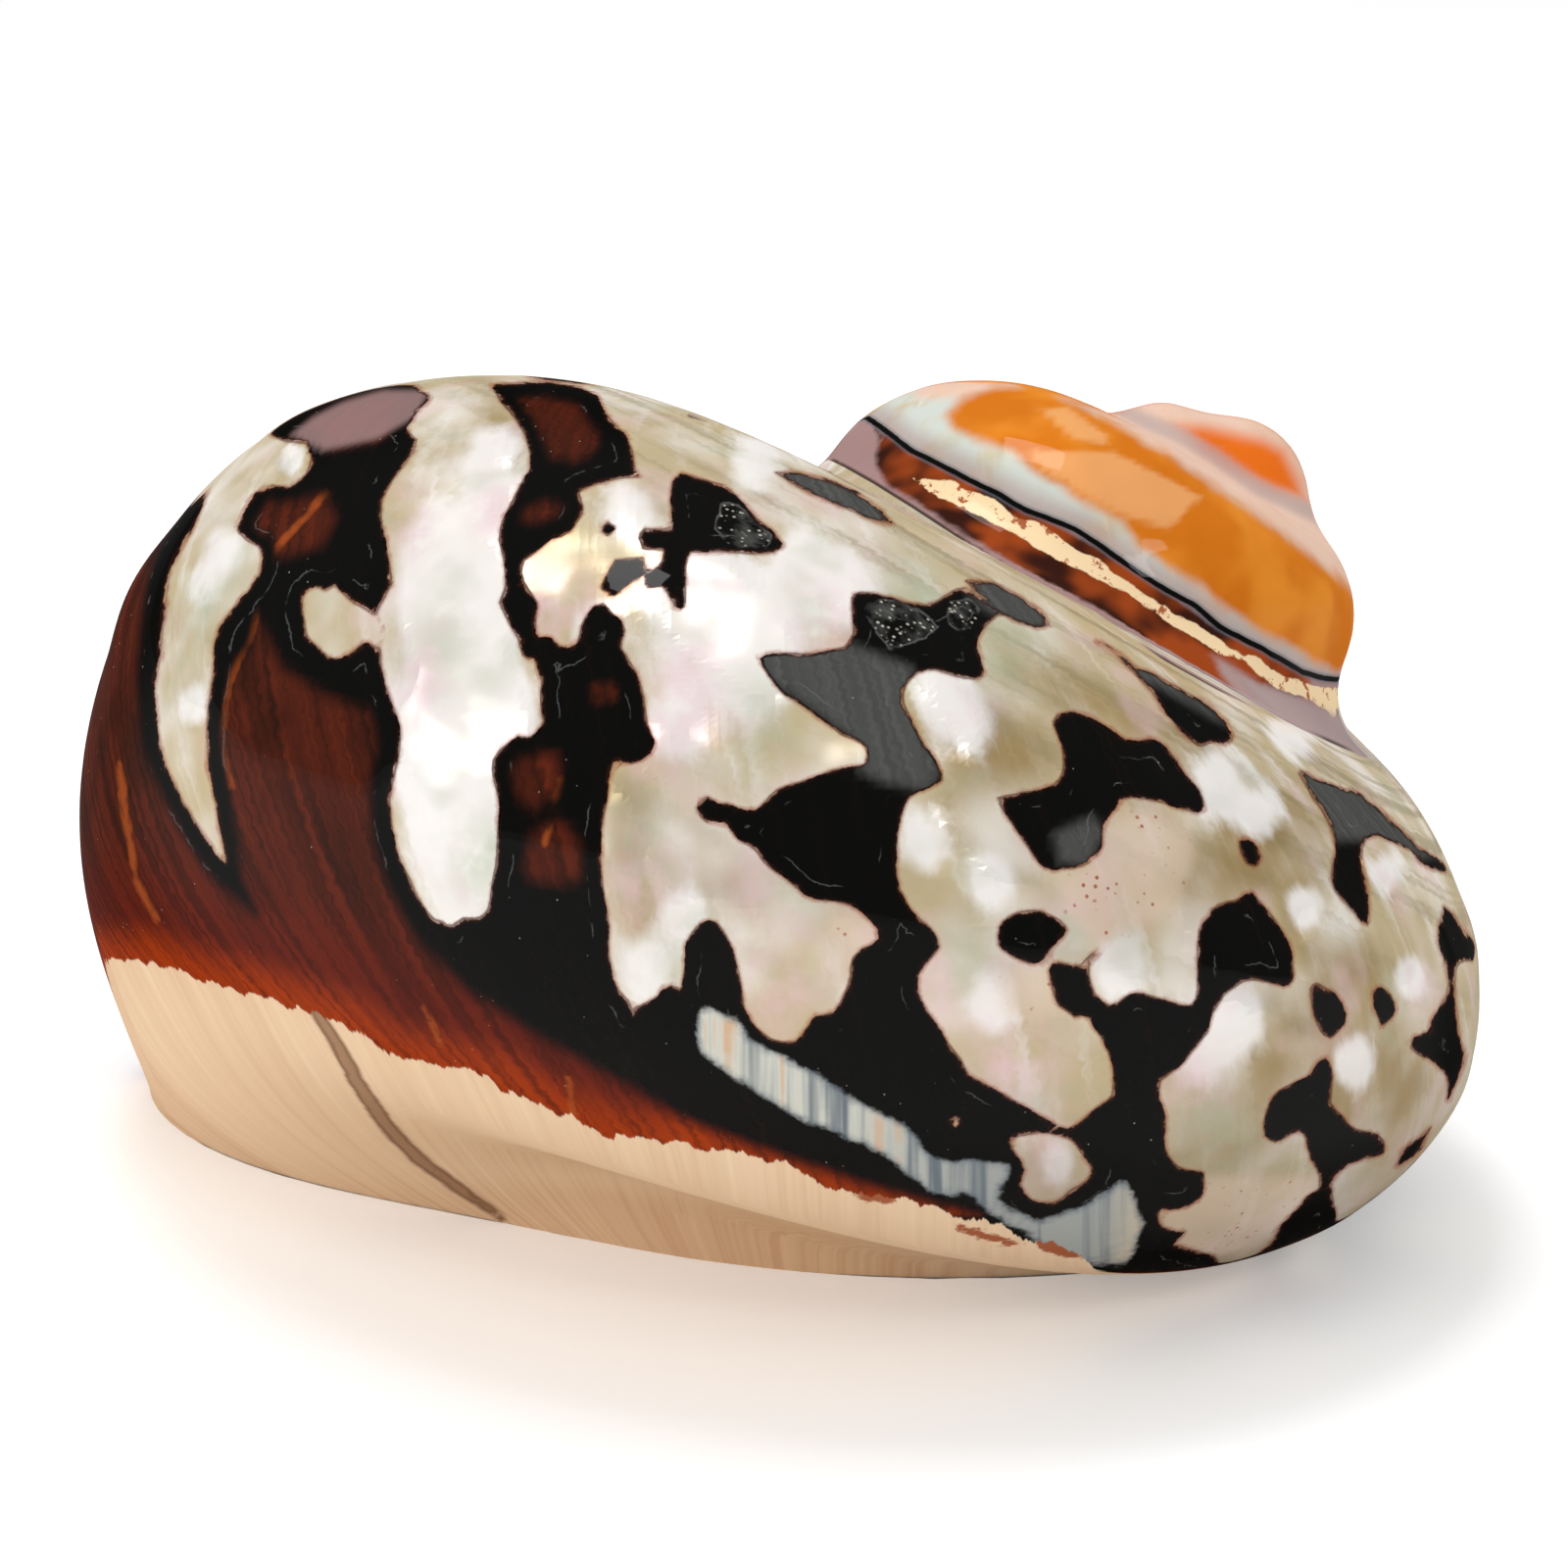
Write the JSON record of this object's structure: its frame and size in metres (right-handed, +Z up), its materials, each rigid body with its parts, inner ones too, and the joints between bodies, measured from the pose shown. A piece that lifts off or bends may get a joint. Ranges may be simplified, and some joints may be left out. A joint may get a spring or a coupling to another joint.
{
  "type": "turban shell",
  "caption": "Polished turban shell with a broad last whorl, a low blunt spire and a wide open mouth, lying mouth down.",
  "frame": {"origin": "centre of the shell's footprint box, on the surface that the mouth rests on", "axes": "+Z up out of the surface; +X to the right of the pictured side, which faces -Y; the spire leans towards +X"},
  "size_m": [0.0858, 0.091, 0.0513],
  "materials": {
    "polished_shell": "high polish over pearl, with black, rust-brown, peach and amber layers"
  },
  "bodies": {
    "root": {"shell": "polished_shell"}
  },
  "joints": []
}
